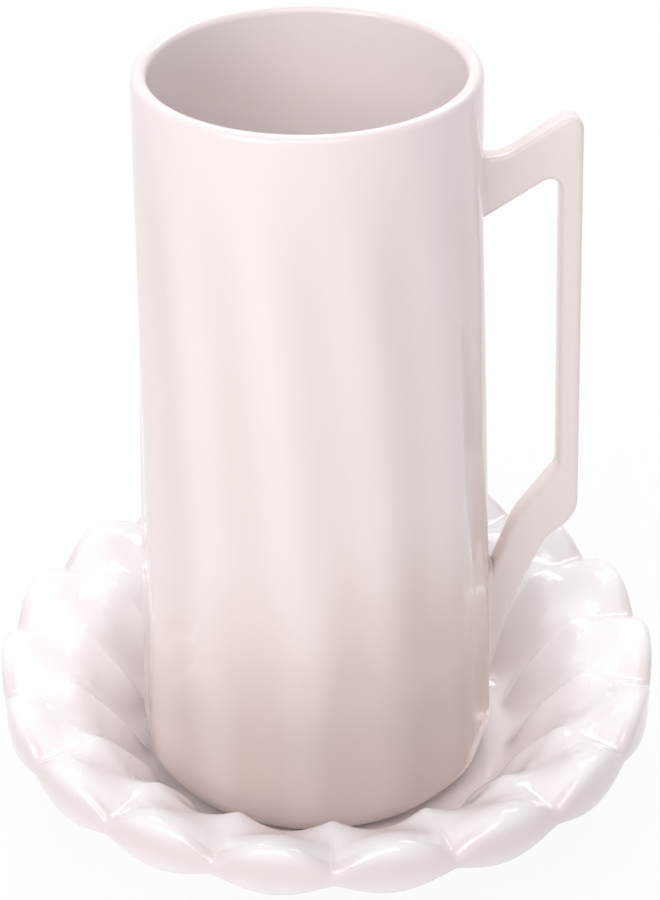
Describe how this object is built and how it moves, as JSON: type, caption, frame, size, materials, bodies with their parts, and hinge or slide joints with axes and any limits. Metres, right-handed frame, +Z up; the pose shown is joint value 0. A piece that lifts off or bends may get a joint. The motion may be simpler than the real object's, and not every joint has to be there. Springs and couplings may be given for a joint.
{
  "type": "mug and saucer",
  "caption": "Tall white glazed porcelain mug with soft twisted flutes and an angular handle, standing in the well of a deep saucer with a petal-shaped, arched edge.",
  "frame": {"origin": "on the axis of the saucer and mug, on the surface that the saucer's foot ring stands on", "axes": "+Z up, the mug's handle points along +X"},
  "size_m": [0.1444, 0.1446, 0.1687],
  "materials": {
    "white_glaze": "glossy transparent glaze over white porcelain, with a faint pink cast",
    "glazed_slip": "porcelain slip under the same glossy glaze"
  },
  "bodies": {
    "saucer": {"saucer": "white_glaze"},
    "mug": {"mug_body": "white_glaze", "handle": "white_glaze", "upper_slip_joint": "glazed_slip", "lower_slip_joint": "glazed_slip"}
  },
  "joints": [
    {"name": "mug_lift", "type": "slide", "parent": "saucer", "child": "mug", "axis": [0, 0, 1], "range_m": [0, 0.1]}
  ]
}
